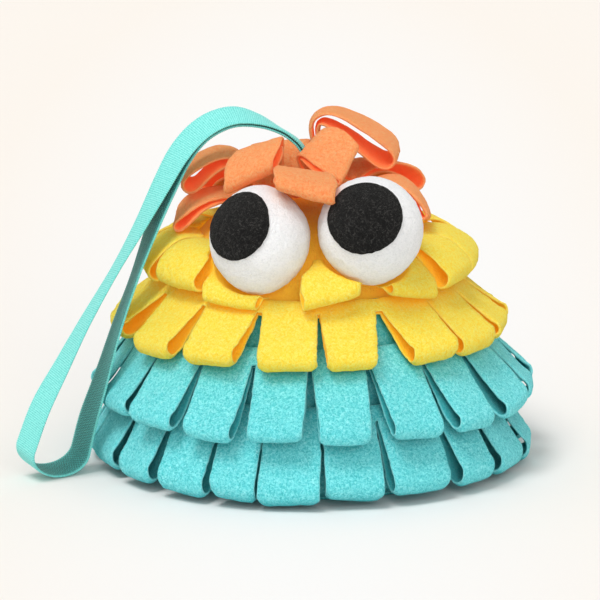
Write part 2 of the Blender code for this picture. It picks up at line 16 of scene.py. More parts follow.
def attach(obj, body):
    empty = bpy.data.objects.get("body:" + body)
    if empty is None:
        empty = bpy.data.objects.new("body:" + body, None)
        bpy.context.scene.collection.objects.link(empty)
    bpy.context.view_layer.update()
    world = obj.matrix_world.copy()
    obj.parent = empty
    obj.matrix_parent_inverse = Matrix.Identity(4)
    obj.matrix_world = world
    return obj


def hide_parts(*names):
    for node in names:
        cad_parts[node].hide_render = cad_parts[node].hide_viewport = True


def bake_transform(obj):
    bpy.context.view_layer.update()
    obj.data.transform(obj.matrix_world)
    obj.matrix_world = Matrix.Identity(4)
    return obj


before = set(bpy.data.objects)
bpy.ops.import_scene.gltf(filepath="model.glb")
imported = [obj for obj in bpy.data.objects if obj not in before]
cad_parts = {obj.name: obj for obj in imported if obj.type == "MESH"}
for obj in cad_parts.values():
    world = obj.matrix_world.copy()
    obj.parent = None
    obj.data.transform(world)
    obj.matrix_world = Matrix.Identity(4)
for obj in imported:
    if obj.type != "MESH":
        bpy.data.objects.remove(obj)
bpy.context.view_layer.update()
UP = np.array((0.0, 0.0, 1.0))

# Fabrics
CLEARANCE = 0.0003
FLEECE = 0.0023
FELT = 0.0014
WEBBING = 0.0018
LAYER_GAP = 0.0003

# Stuffed dome
DOME_RADIUS = 0.114
WAIST_HEIGHT = 0.020
DOME_RISE = 0.168
DOME_HEIGHT = WAIST_HEIGHT + DOME_RISE
PANEL_SEAM_HEIGHT = 0.124
DOME_COLUMNS = 180
DOME_ROWS = 70

# Folded strips. The steps are the mesh's rows in the collar, from there to the fold and round
# it, and the columns those across a loop. VARY is how far the loops of a band differ, and DRIFT
# the size and height of the cloth's waves.
STRIP_WIDTH = 0.040
COLLAR_SHARE = 0.24
SWELL_POWER = 1.6
SLIT_WIDTH = 0.0012
SMOOTH_PASSES = 6
BAND_LIFT_SHARES = (0.50, 0.42)
BAND_STEPS = (3, 19, 9)
BAND_COLUMNS = 13
LOOP_STEPS = (5, 18, 9)
LOOP_COLUMNS = 17
STRAP_SIDE = -76
PRESS_SPREAD = 26
REST_GAP = 4.4
VARY_SEED = 11
VARY_DROP = 0.0014
VARY_REACH = 0.0010
VARY_OPENING = 0.0016
VARY_TILT = 0.0012
TWIST_ARM = 0.018
BAND_CURL = (-0.0004, 0.0016)
BAND_TWIST = 2.5
BAND_CORNER = 0.0020
BAND_DRIFT = (0.030, 0.0011)
BAND_EASE = 1.02
LOOP_CURL = (-0.0006, 0.0018)
LOOP_TWIST = 5
LOOP_PINCH = 0.0012
LOOP_CORNER = 0.0014
LOOP_DRIFT = (0.026, 0.0012)
LOOP_GATHER = 0.0016

# The cloth's surface, as sizes and heights of its lumps, and its frayed cut edges
LUMPS = ((0.0055, 0.00024), (0.0024, 0.00022))
EYE_LUMPS = ((0.0040, 0.00026), (0.0021, 0.00022))
EYE_DENTS = ((0.020, 0.0007),)
PILE_LUMPS = ((0.0018, 0.00016), (0.006, 0.00012))
EDGE_THINNING = 0.78
EDGE_REACH = FLEECE * 0.30
FRAY_SIZE = 0.0021
FRAY_DEPTH = 0.00035

# The sewn bands: seam height, reach, drop, opening, press by the strap, the front loops as
# (left, right) directions, the number of the rest, and colour
BANDS = {
    "lower_aqua_band": (
        0.060, 0.0260, 0.0472, 0.0145, 0.0030,
        ((-79, -63.4), (-59.1, -46.1), (-41.5, -28.1), (-25.3, -13.8), (-12.5, 2.6),
         (4.6, 19.1), (22.3, 38.5), (43.0, 54.3), (58.5, 73)),
        12, "aqua",
    ),
    "upper_aqua_band": (
        0.095, 0.0385, 0.0455, 0.0100, 0.0070,
        ((-71, -57.7), (-52.4, -38.1), (-33.2, -20.6), (-15.5, -2),
         (2.7, 15.2), (22.2, 35), (40.9, 53.3), (60.3, 74)),
        12, "aqua",
    ),
    "lower_yellow_band": (
        0.123, 0.0325, 0.0300, 0.0100, 0.0,
        ((-86, -70), (-59.6, -44.8), (-38.2, -22.3), (-14.3, 1.7),
         (5.5, 19.8), (31.6, 46.4), (50.3, 67)),
        10, "yellow",
    ),
}

# Loose loops: direction and seam height, how far out and up the strip bends and then folds, the
# fold's opening, sideways shift and roll. All but the angles are shares, as in the CAD part.
YELLOW_LOOPS = (
    (-53, 0.800, 0.800, 0.830, 0.905, 0.712, 0.28, -0.02, 0),
    (-30, 0.777, 0.810, 0.756, 0.905, 0.670, 0.12, 0.03, -4),
    (9, 0.777, 0.810, 0.785, 0.912, 0.700, 0.18, -0.05, 15),
    (39, 0.780, 0.810, 0.780, 0.912, 0.690, 0.14, 0.04, -10),
    (63, 0.800, 0.800, 0.830, 0.915, 0.712, 0.28, 0.0, 0),
    (89, 0.800, 0.800, 0.820, 0.905, 0.710, 0.26, 0.05, 4),
    (117, 0.800, 0.800, 0.830, 0.915, 0.708, 0.24, -0.04, -3),
    (144, 0.800, 0.800, 0.820, 0.900, 0.712, 0.28, 0.03, 5),
    (172, 0.800, 0.800, 0.830, 0.912, 0.706, 0.22, 0.0, -4),
    (199, 0.800, 0.800, 0.820, 0.905, 0.714, 0.26, 0.04, 3),
    (226, 0.800, 0.800, 0.830, 0.915, 0.708, 0.28, -0.04, -5),
    (254, 0.800, 0.800, 0.820, 0.900, 0.712, 0.24, 0.02, 4),
    (281, 0.800, 0.800, 0.830, 0.910, 0.706, 0.26, 0.0, -3),
)
YELLOW_ROOT_SHARE = 0.70

# The crown's loops: name, direction in which each is sewn on, seam height, direction in which
# it points, and then the same values.
CROWN_LOOPS = (
    ("left_upper", -100, 0.962, -91, 0.440, 1.145, 0.690, 0.985, 0.24, 0.0, -5),
    ("left_lower", -78, 0.930, -90, 0.600, 0.965, 0.735, 0.858, 0.12, -0.10, -6),
    ("front_left", -62, 0.972, -22, 0.370, 1.240, 0.595, 1.068, 0.22, 0.16, 26),
    ("front_upper", 22, 0.989, 62, -0.050, 1.220, 0.336, 1.083, 0.07, -0.235, 30),
    ("front_lower", -4, 0.962, -4, 0.560, 1.145, 0.860, 1.052, 0.14, 0.11, -15),
    ("top", 150, 0.983, 90, -0.140, 1.355, 0.455, 1.065, 0.32, 0.05, 5),
    ("right", 80, 0.950, 88, 0.520, 1.052, 0.665, 0.872, 0.08, 0.0, -8),
    ("back_right", 132, 0.955, 132, 0.480, 1.045, 0.700, 0.930, 0.26, 0.0, -5),
    ("back_lower", 178, 0.955, 178, 0.470, 1.020, 0.690, 0.920, 0.28, 0.04, 1),
    ("back_left", -136, 0.955, -136, 0.480, 1.020, 0.700, 0.915, 0.26, 0.0, 4),
    ("back_upper", -160, 0.975, -160, 0.350, 1.110, 0.530, 1.022, 0.16, 0.0, -4),
)
CROWN_ROOT_SHARE = 0.45

# Eyes: direction, seat height and stand as shares, radius, gaze, pupil radius
EYES = {
    "left": (-21.43, 0.801, 0.530, 0.0350, (-0.498, -0.710, 0.495), 0.0225),
    "right": (25.99, 0.8125, 0.7204, 0.0353, (-0.155, -0.866, 0.470), 0.0240),
}

# How each eye's ball swells: its usual reach, and what its top and bottom add, as shares of its
# radius, where up leans a little back. The pupils' extra height is a share of their own.
EYE_SWELL = {"left": (0.920, 0.095, 0.095), "right": (0.950, 0.010, 0.040)}
EYE_UP = np.array((0.0, 0.22, 0.975))
PUPIL_HEIGHT = {"left": 0.07, "right": -0.02}

# Strap: stations as x and y in shares of its reach, z in shares of the crest's height, half gap
# as a share of the loop's half width, and roll. The loop ends LOOP_TIP past the last one.
STRAP_WIDTH = 0.021
STRAP_REACH = DOME_RADIUS + 0.056
CREST_HEIGHT = DOME_HEIGHT + 0.0405
LOOP_HALF_WIDTH = 0.021
LOOP_TIP = 0.015
STRAP_ROUTE_SHARES = (
    (0.000, -0.012, 0.8350, 0.00, 0),
    (-0.006, -0.012, 0.8700, 0.00, 0),
    (-0.024, -0.012, 0.9000, 0.00, -2),
    (-0.053, -0.012, 0.9260, 0.00, -5),
    (-0.112, -0.014, 0.9560, 0.00, -7),
    (-0.194, -0.022, 0.9860, 0.00, 6),
    (-0.282, -0.040, 1.0000, 0.00, 21),
    (-0.365, -0.064, 0.9850, 0.00, 30),
    (-0.435, -0.088, 0.9500, 0.00, 35),
    (-0.494, -0.112, 0.8950, 0.03, 36),
    (-0.547, -0.141, 0.8190, 0.07, 31),
    (-0.620, -0.188, 0.7020, 0.15, 19),
    (-0.700, -0.240, 0.5770, 0.28, 11),
    (-0.790, -0.294, 0.4370, 0.46, 16),
    (-0.868, -0.318, 0.2980, 0.68, 26),
    (-0.932, -0.325, 0.1840, 0.90, 35),
    (-0.975, -0.322, 0.0806, 1.00, 37),
)
STRAP_HINGE_SHARE = 0.060
STRAP_BEND_SHARE = 0.245
CURVE_STEPS = 12
RIB_PITCH = 0.0014
RIB_HEIGHT = 0.00026
STRAP_STEP = 0.00035

# The webbing's mesh: places on a selvedge and between the two, as shares of half its width, and
# how far a selvedge waves. The inner side's weave is darkened by painted shade, which is fainter
# at its edges (SHADE) and where the layers part (PRESSED).
SELVEDGE = (1.0, 0.985, 0.95, 0.91, 0.87, 0.83)
SELVEDGE_START = 0.84
SELVEDGE_MIDDLE = 0.92
SELVEDGE_HALF = 0.085
SELVEDGE_WAVE = 0.00055
FLAT_COLUMNS = np.linspace(-0.78, 0.78, 9)
SHADE_LEAST = 0.22
SHADE_EDGE = 0.16
PRESSED_GAP = 0.006
PRESSED_LEAST = 0.86

# The weave on the webbing's inner side
ZIGZAG_WIDTH = 0.0017
ZIGZAG_SLOPE = 1.1
ZIGZAG_PITCH = 0.0019

# The stage
FLOOR_REACH = 14.0
VIEW_WIDTH = 0.393
VIEW_TILT = 13.1
VIEW_TARGET = Vector((-0.0059, 0.0, 0.1049))


# Small helpers

def mix(start, end, share):
    return start + (end - start) * share


def unit(vectors):
    """Vectors of length one, along the last axis."""
    size = np.linalg.norm(vectors, axis=-1, keepdims=True)
    return vectors / np.maximum(size, 1e-12)


def lattice(cells, seed):
    """Fixed pseudo-random values from -1 to 1 at whole-numbered places."""
    n = cells[..., 0] * 374761393 + cells[..., 1] * 668265263 + cells[..., 2] * 1103515245
    n = (n + seed * 1274126177) & 0xFFFFFFFF
    n = ((n ^ (n >> 13)) * 1274126177) & 0xFFFFFFFF
    return ((n ^ (n >> 16)) & 0xFFFF) / 32767.5 - 1


def noise(points, size, seed=0):
    """Smooth noise from -1 to 1 with lumps of a size in metres."""
    scaled = np.asarray(points) / size
    base = np.floor(scaled).astype(np.int64)
    part = scaled - base
    part = part * part * (3 - 2 * part)
    total = np.zeros(scaled.shape[:-1])
    for corner in itertools.product((0, 1), repeat=3):
        weight = np.prod(np.where(corner, part, 1 - part), axis=-1)
        total += weight * lattice(base + np.array(corner), seed)
    return total


def lumps(points, layers, seed, seed_step):
    """Heights of noise in a few layers of (size, height)."""
    return sum(noise(points, size, seed + seed_step * place) * height
               for place, (size, height) in enumerate(layers))


def drift(points, size, amount, seed):
    """The same soft shift for everything near a place, so that cloth waves but doesn't tear."""
    moves = [noise(points, size, seed + axis) for axis in range(3)]
    return np.stack(moves, axis=-1) * amount


def outward(degrees):
    turn = math.radians(degrees)
    return np.array((math.sin(turn), -math.cos(turn), 0.0))


def sideways(degrees):
    turn = math.radians(degrees)
    return np.array((math.cos(turn), math.sin(turn), 0.0))


def turn_about(axis, degrees):
    """Rotation matrix about an axis."""
    return np.array(Matrix.Rotation(math.radians(degrees), 3, Vector(axis)))


def show(name, data):
    """An object in the scene with some data."""
    made = bpy.data.objects.new(name, data)
    bpy.context.scene.collection.objects.link(made)
    return made


def build(name, vertices, faces, colour):
    """A smooth mesh object with outward normals."""
    mesh = bpy.data.meshes.new(name)
    mesh.from_pydata(np.asarray(vertices).tolist(), [], faces)
    work = bmesh.new()
    work.from_mesh(mesh)
    bmesh.ops.recalc_face_normals(work, faces=work.faces)
    work.to_mesh(mesh)
    work.free()
    mesh.materials.append(MATERIALS[colour].material)
    mesh.shade_smooth()
    return show(name, mesh)


def read_points(made):
    flat = np.empty(len(made.data.vertices) * 3)
    made.data.vertices.foreach_get("co", flat)
    return flat.reshape(-1, 3)


def read_normals(made):
    flat = np.empty(len(made.data.vertices) * 3, np.float32)
    made.data.vertex_normals.foreach_get("vector", flat)
    return flat.reshape(-1, 3).astype(float)


def write_points(made, points):
    made.data.vertices.foreach_set("co", np.asarray(points, np.float32).ravel())
    made.data.update()


def raise_surface(made, heights):
    """Move each point out along its normal."""
    write_points(made, read_points(made) + read_normals(made) * heights[:, None])


def declare(made, body, nodes):
    """Put a piece on the body that it rides on, and hide the CAD nodes that it stands for."""
    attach(made, body)
    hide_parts(*nodes)


# Materials

def connect(tree, source, socket):
    """Set a socket to a value, or link a node's output to it."""
    if isinstance(source, tuple):
        socket.default_value = (*source, 1.0)
    elif isinstance(source, (int, float)):
        socket.default_value = source
    else:
        tree.links.new(source, socket)


class Nodes:
    """A short way to write a procedural material."""

    def __init__(self, name):
        self.material = bpy.data.materials.new(name)
        self.material.use_nodes = True
        self.tree = self.material.node_tree
        self.shader = self.tree.nodes["Principled BSDF"]
        self.place = self.add("ShaderNodeTexCoord").outputs["Object"]

    def add(self, kind, **values):
        node = self.tree.nodes.new(kind)
        for key, value in values.items():
            setattr(node, key, value)
        return node

    def output(self, kind, name, sockets, **values):
        """The output of a new node, with some of its sockets set or linked."""
        node = self.add(kind, **values)
        for key, value in sockets.items():
            connect(self.tree, value, node.inputs[key])
        return node.outputs[name]

    def link(self, source, target):
        self.tree.links.new(source, target)

    def set(self, **values):
        """Set sockets of the shader, with _ for a space. Colours are (red, green, blue, 1)."""
        for key, value in values.items():
            self.shader.inputs[key.replace("_", " ")].default_value = value

    def surface(self, colour, normal):
        self.link(colour, self.shader.inputs["Base Color"])
        self.link(normal, self.shader.inputs["Normal"])

    def attribute(self, name):
        return self.add("ShaderNodeAttribute", attribute_name=name).outputs["Fac"]

    def noise(self, scale, detail=2.0, roughness=0.5, distortion=0.0, place=None):
        return self.output("ShaderNodeTexNoise", "Fac", {
            "Vector": place or self.place, "Scale": scale, "Detail": detail,
            "Roughness": roughness, "Distortion": distortion})

    def math(self, operation, first, second=0.0):
        return self.output("ShaderNodeMath", 0, {0: first, 1: second}, operation=operation)

    def weigh(self, first, first_share, second, second_share):
        return self.math("ADD", self.math("MULTIPLY", first, first_share),
                         self.math("MULTIPLY", second, second_share))

    def map_range(self, source, start, end, low=0.0, high=1.0):
        sockets = dict(enumerate((source, start, end, low, high)))
        return self.output("ShaderNodeMapRange", "Result", sockets)

    def ramp(self, source, stops):
        node = self.add("ShaderNodeValToRGB")
        ramp = node.color_ramp
        while len(ramp.elements) < len(stops):
            ramp.elements.new(0.5)
        for element, (place, colour) in zip(ramp.elements, stops):
            element.position = place
            element.color = (*colour, 1.0)
        self.link(source, node.inputs["Fac"])
        return node.outputs["Color"]

    def blend_colours(self, share, first, second, mode="MIX"):
        return self.output("ShaderNodeMix", 2, {0: share, 6: first, 7: second},
                           data_type="RGBA", blend_type=mode)

    def bump(self, height, distance, strength=1.0, before=None):
        sockets = {"Height": height, "Distance": distance, "Strength": strength}
        if before is not None:
            sockets["Normal"] = before
        return self.output("ShaderNodeBump", "Normal", sockets)


def fleece(name, painted_shade, dark, middle, light, radius, nub=620.0, glow=0.3, painted_glow=0.0,
           depth=0.0020):
    """Anti-pill fleece: soft nubs a couple of millimetres across, with fine fibres on them.

    The colours are the painted shade inside the loops and in crevices, then those in the pits
    between nubs, usual, and on the nubs. It turns deeper in colour as painted shade inside the
    loops and where it meets other cloth, and paler along its cut edges as a painted sheen. Glow
    is the light that goes into thin cloth and comes out beside, and the emission strength adds a
    painted glow in the shade colour where that painted shade lies."""
    n = Nodes(name)
    nubs = n.noise(nub, 2.0, 0.55, 0.8)
    small = n.noise(nub * 2.2, 2.0, 0.6, 0.5)
    fibres = n.noise(nub * 5.0, 3.0, 0.7, 0.4)
    patches = n.noise(26.0, 2.0, 0.5)
    height = n.weigh(nubs, 0.60, small, 0.40)
    tone = n.weigh(height, 0.84, fibres, 0.16)
    colour = n.ramp(tone, ((0.40, dark), (0.50, middle), (0.62, light)))
    wide = n.ramp(patches, ((0.30, (0.955, 0.955, 0.955)), (0.70, (1.0, 1.0, 1.0))))
    colour = n.blend_colours(1.0, colour, wide, "MULTIPLY")
    # Painted shade: the colour turns towards the shade colour in crevices, found by ambient
    # occlusion, and on the loops' inner sides.
    open_air = n.output("ShaderNodeAmbientOcclusion", "AO", {"Distance": 0.014}, samples=4)
    crevice = n.map_range(open_air, 0.75, 0.20, 0.0, 0.85)
    shade_share = n.math("MAXIMUM", n.math("MULTIPLY", n.attribute("painted_shade"), 0.75), crevice)
    colour = n.blend_colours(shade_share, colour, painted_shade)
    # Painted sheen: the cut edges turn towards the nubs' pale colour.
    colour = n.blend_colours(n.math("MULTIPLY", n.attribute("cut"), 0.7), colour, light)
    n.surface(colour, n.bump(fibres, depth * 0.12, 0.8, n.bump(height, depth)))
    # Painted glow: the shaded places give off light in the shade colour, standing in for light
    # that passes through the thin cloth.
    if painted_glow:
        painted_glow_colour = n.blend_colours(shade_share, (0.0, 0.0, 0.0), painted_shade)
        n.link(painted_glow_colour, n.shader.inputs["Emission Color"])
        n.set(Emission_Strength=painted_glow)
    n.set(Roughness=0.95, Specular_IOR_Level=0.10, Sheen_Weight=0.45, Sheen_Roughness=0.40,
          Sheen_Tint=(*light, 1.0), Subsurface_Weight=glow, Subsurface_Radius=radius,
          Subsurface_Scale=0.0040)
    return n


def crown_fleece(name):
    """The dome's own cloth at the crown: orange on top, golden between and below the eyes."""
    # The first colour is painted shade for the crevices, such as between the eyes, where the
    # emission adds painted glow in it.
    n = fleece(name, (1.0, 0.38, 0.04), (1.0, 0.25, 0.06), (1.0, 0.33, 0.10),
               (1.0, 0.42, 0.15), (1.0, 0.35, 0.12), painted_glow=0.30)
    orange = n.shader.inputs["Base Color"].links[0].from_socket
    height = n.output("ShaderNodeSeparateXYZ", "Z", {"Vector": n.place})
    share = n.map_range(height, 0.160, 0.182)
    colour = n.blend_colours(share, (1.0, 0.58, 0.045), orange)
    n.link(colour, n.shader.inputs["Base Color"])
    return n


def felt(name):
    """Short black pile with lighter stray fibres."""
    n = Nodes(name)
    pile = n.noise(380.0, 4.0, 0.65, 1.8)
    strands = n.noise(1200.0, 3.0, 0.6, 3.5)
    height = n.weigh(pile, 0.6, strands, 0.4)
    colour = n.ramp(height, ((0.36, (0.004, 0.004, 0.004)), (0.52, (0.010, 0.010, 0.010)),
                             (0.66, (0.085, 0.082, 0.077))))
    n.surface(colour, n.bump(height, 0.0024))
    n.set(Roughness=0.97, Specular_IOR_Level=0.10, Sheen_Weight=0.14, Sheen_Roughness=0.5,
          Sheen_Tint=(0.30, 0.30, 0.29, 1.0))
    return n


def webbing(name):
    """Woven webbing. The ribs are in the mesh; the yarns and their fibres are here, and a zigzag
    weave on the inner side, darkened there as painted shade."""
    n = Nodes(name)
    lay = n.add("ShaderNodeUVMap", uv_map="UVMap").outputs["UV"]
    shape = n.add("ShaderNodeMapping")
    shape.inputs["Scale"].default_value = (900.0, 760.0, 1.0)
    n.link(lay, shape.inputs["Vector"])
    yarn = n.noise(1.0, 2.0, 0.6, 0.5, shape.outputs["Vector"])
    fuzz = n.noise(2200.0, 2.0, 0.6)
    tone = n.weigh(n.attribute("rib"), 0.33, yarn, 0.75)
    colour = n.ramp(tone, ((0.16, (0.058, 0.390, 0.360)), (0.45, (0.165, 0.660, 0.615)),
                           (0.80, (0.315, 0.850, 0.795))))
    split = n.add("ShaderNodeSeparateXYZ")
    n.link(lay, split.inputs["Vector"])
    zigzag = n.math("PINGPONG", split.outputs["X"], ZIGZAG_WIDTH)
    along = n.math("ADD", split.outputs["Y"], n.math("MULTIPLY", zigzag, ZIGZAG_SLOPE))
    twill = n.math("SINE", n.math("MULTIPLY", along, 2 * math.pi / ZIGZAG_PITCH))
    twill = n.math("ADD", n.math("MULTIPLY", twill, 0.40), yarn)
    # The inner side's colours: the zigzag weave darkened by painted shade, as though in the gap
    # between the layers.
    inside = n.ramp(twill, ((0.30, (0.002, 0.075, 0.070)), (0.55, (0.010, 0.180, 0.168)),
                            (0.85, (0.060, 0.380, 0.350))))
    colour = n.blend_colours(n.attribute("inner_weave_and_shade"), colour, inside)
    n.surface(colour, n.bump(fuzz, 0.00015, 0.4, n.bump(yarn, 0.0004, 0.6)))
    n.set(Roughness=0.60, Specular_IOR_Level=0.35, Sheen_Weight=0.3, Sheen_Roughness=0.4,
          Sheen_Tint=(0.50, 0.95, 0.88, 1.0))
    return n


# Each fleece's first colour is its painted shade, for the inner sides of the loops and its
# crevices; yellow and orange also give off painted glow in that colour.
MATERIALS = {
    "aqua": fleece(
        "aqua_fleece", (0.018, 0.385, 0.415), (0.072, 0.560, 0.600), (0.165, 0.755, 0.790),
        (0.350, 0.940, 0.970), (0.25, 0.9, 1.0)),
    "yellow": fleece(
        "yellow_fleece", (1.000, 0.480, 0.012), (1.000, 0.670, 0.035), (1.000, 0.780, 0.085),
        (1.000, 0.880, 0.200), (1.0, 0.60, 0.1), glow=0.2, painted_glow=0.25),
    "orange": fleece(
        "orange_fleece", (1.000, 0.180, 0.050), (1.000, 0.270, 0.085), (1.000, 0.365, 0.130),
        (1.000, 0.470, 0.210), (1.0, 0.40, 0.15), glow=0.2, painted_glow=0.25),
    "crown": crown_fleece("crown_fleece"),
    "white": fleece(
        "white_fleece", (0.930, 0.850, 0.740), (0.850, 0.862, 0.872), (0.930, 0.940, 0.950),
        (0.975, 0.980, 0.985), (1.0, 0.97, 0.95), nub=600.0, glow=0.1, depth=0.0018),
    "black": felt("black_felt"),
    "webbing": webbing("aqua_webbing"),
}


# Cloth sheets

def cloth(name, points, normals, cells, colour, wrap=False):
    """A closed sheet of fleece from a grid of places and normals, with soft cut edges."""
    columns = points.shape[1]
    row, column = np.nonzero(cells)
    after = (column + 1) % columns if wrap else column + 1
    a = row * columns + column
    b = (row + 1) * columns + column
    c = (row + 1) * columns + after
    d = row * columns + after
    ring = np.stack((a, b, c, d), axis=1)
    flat = points.reshape(-1, 3)
    face = normals.reshape(-1, 3)
    count = len(flat)
    centre = flat[ring].mean(axis=1)
    starts = ring.ravel()
    ends = np.roll(ring, -1, axis=1).ravel()
    owner = np.repeat(np.arange(len(ring)), 4)
    key = np.minimum(starts, ends) * count + np.maximum(starts, ends)
    _, place, uses = np.unique(key, return_inverse=True, return_counts=True)
    cut = uses[place] == 1
    starts, ends, owner = starts[cut], ends[cut], owner[cut]
    edge_normal = unit(face[starts] + face[ends])
    away = unit(np.cross(flat[ends] - flat[starts], edge_normal))
    flip = ((flat[starts] + flat[ends]) / 2 - centre[owner]) * away
    away *= np.where(flip.sum(axis=1) < 0, -1.0, 1.0)[:, None]
    pull = np.zeros_like(flat)
    np.add.at(pull, starts, away)
    np.add.at(pull, ends, away)
    touched = np.linalg.norm(pull, axis=1) > 0
    pull = unit(pull)
    rim = int(touched.sum())
    index = np.full(count, -1)
    index[touched] = np.arange(rim) + 2 * count
    half = np.full(count, FLEECE / 2)
    half[touched] *= EDGE_THINNING
    front = flat + face * half[:, None]
    back = flat - face * half[:, None]
    frayed = EDGE_REACH + noise(flat[touched], FRAY_SIZE, 7) * FRAY_DEPTH
    edge = flat[touched] + pull[touched] * frayed[:, None]
    vertices = np.concatenate((front, back, edge))
    faces = np.concatenate((
        ring,
        ring[:, ::-1] + count,
        np.stack((ends, starts, index[starts], index[ends]), axis=1),
        np.stack((index[ends], index[starts], starts + count, ends + count), axis=1),
    ))
    used = np.unique(faces)
    renumber = np.zeros(len(vertices), int)
    renumber[used] = np.arange(len(used))
    made = build(name, vertices[used], renumber[faces].tolist(), colour)
    # Two masks for the material: painted shade, full on the back, which is the loops' inner side,
    # and a little on the cut edges; and the cut edges, which are painted paler as sheen.
    for kind, shares in (("painted_shade", (0.0, 1.0, 0.3)), ("cut", (0.0, 0.0, 1.0))):
        values = np.repeat(shares, (count, count, rim))[used]
        made.data.attributes.new(kind, "FLOAT", "POINT").data.foreach_set("value", values)
    return made


def fold_line(root, lift, fold, opening, before, between, arc):
    """Rows of a folded strip in its upright plane: shares, places and normals.

    before is the number of steps in the collar, between to the fold, arc round the fold."""
    near = (FLEECE + LAYER_GAP) / 2
    far = (opening + FLEECE) / 2
    shares = np.concatenate((
        np.linspace(0, COLLAR_SHARE, before + 1)[:-1],
        np.linspace(COLLAR_SHARE, 1, between + 1),
    ))
    left = (1 - shares)[:, None]
    share = shares[:, None]
    middle = root * left * left + lift * 2 * share * left + fold * share * share
    slope = unit((lift - root) * left + (fold - lift) * share)
    normal = np.stack((-slope[:, 1], slope[:, 0]), axis=1)
    half = mix(near, far, shares ** SWELL_POWER)[:, None]
    places = [middle - normal * half]
    along, across = slope[-1], normal[-1]
    angles = np.radians(np.arange(1, arc) * 180 / arc)[:, None]
    places.append(middle[-1] + (along * np.sin(angles) - across * np.cos(angles)) * half[-1])
    places.append((middle + normal * half)[::-1])
    line = np.concatenate(places)
    all_shares = np.concatenate((shares, np.ones(arc - 1), shares[::-1]))
    for _ in range(SMOOTH_PASSES):
        line[1:-1] = line[1:-1] * 0.5 + (line[:-2] + line[2:]) * 0.25
    tangent = np.gradient(line, axis=0)
    facing = unit(np.stack((tangent[:, 1], -tangent[:, 0]), axis=1))
    if facing[0] @ normal[0] > 0:
        facing = -facing
    return all_shares, line, facing


def dome_radius(height, inset=0.0):
    """The dome's radius at a height, or that of a surface as far inside it as the inset."""
    level = (height - WAIST_HEIGHT) / (DOME_RISE - inset)
    return (DOME_RADIUS - inset) * math.sqrt(max(0.0, 1.0 - level * level))


def dome_normal(height):
    """Outward direction of the dome's surface, as radial and upward parts."""
    return unit(np.array((dome_radius(height) / DOME_RADIUS ** 2,
                          (height - WAIST_HEIGHT) / DOME_RISE ** 2)))


def seam_lift(along, normal):
    """How far a strip's middle lies off the dome, where two layers of it stand on its seam."""
    tilt = math.sqrt(max(0.0, 1 - float(along @ normal) ** 2))
    return CLEARANCE + (FLEECE + LAYER_GAP / 2) * tilt


def eye_place(side):
    """An eye's centre, the direction in which it stands off the dome, and how far."""
    direction, seat_share, stand_share, radius = EYES[side][:4]
    height = seat_share * DOME_HEIGHT
    upright = dome_normal(height)
    axis = outward(direction) * upright[0] + UP * upright[1]
    seat = outward(direction) * dome_radius(height) + UP * height
    return seat + axis * radius * stand_share, axis, radius * stand_share


def keep_off_dome(points, gap):
    """Move points that lie inside the dome, or closer than a gap, out to it."""
    centre = np.array((0.0, 0.0, WAIST_HEIGHT))
    sizes = np.array((DOME_RADIUS + gap, DOME_RADIUS + gap, DOME_RISE + gap))
    scaled = (points - centre) / sizes
    reach = np.linalg.norm(scaled, axis=-1, keepdims=True)
    return centre + scaled / np.minimum(reach, 1.0) * sizes


def keep_off_eyes(points, gap):
    """Press cloth back where an eye touches it."""
    for side, values in EYES.items():
        centre, radius = eye_place(side)[0], values[3]
        away = points - centre
        reach = np.linalg.norm(away, axis=-1, keepdims=True)
        room = radius + gap
        points = np.where(reach < room, centre + away / reach * room, points)
    return points


def finish_cloth(made, node, seed):
    """Nubs in the mesh, then the piece goes onto the toy's body and its CAD node is hidden."""
    raise_surface(made, lumps(read_points(made), LUMPS, seed, 9))
    declare(made, "toy_body", [node])


def bow_across(lateral, share, curl, twist):
    """How far out a strip lies at a place across it, for its curl and its twist in degrees."""
    return (curl * (1 - lateral ** 2) + lateral * math.radians(twist) * TWIST_ARM) * share ** 2


def line_length(line):
    return float(np.linalg.norm(np.diff(line, axis=0), axis=-1).sum())


# The sewn bands

def band_edges(front, rest):
    """Directions of the left and right edge of each of a band's loops, round the dome."""
    edges = list(front)
    start = front[-1][1] + REST_GAP
    pitch = (front[0][0] + 360 - start) / rest
    for index in range(rest):
        left = start + index * pitch
        edges.append((left, left + pitch - REST_GAP))
    return edges


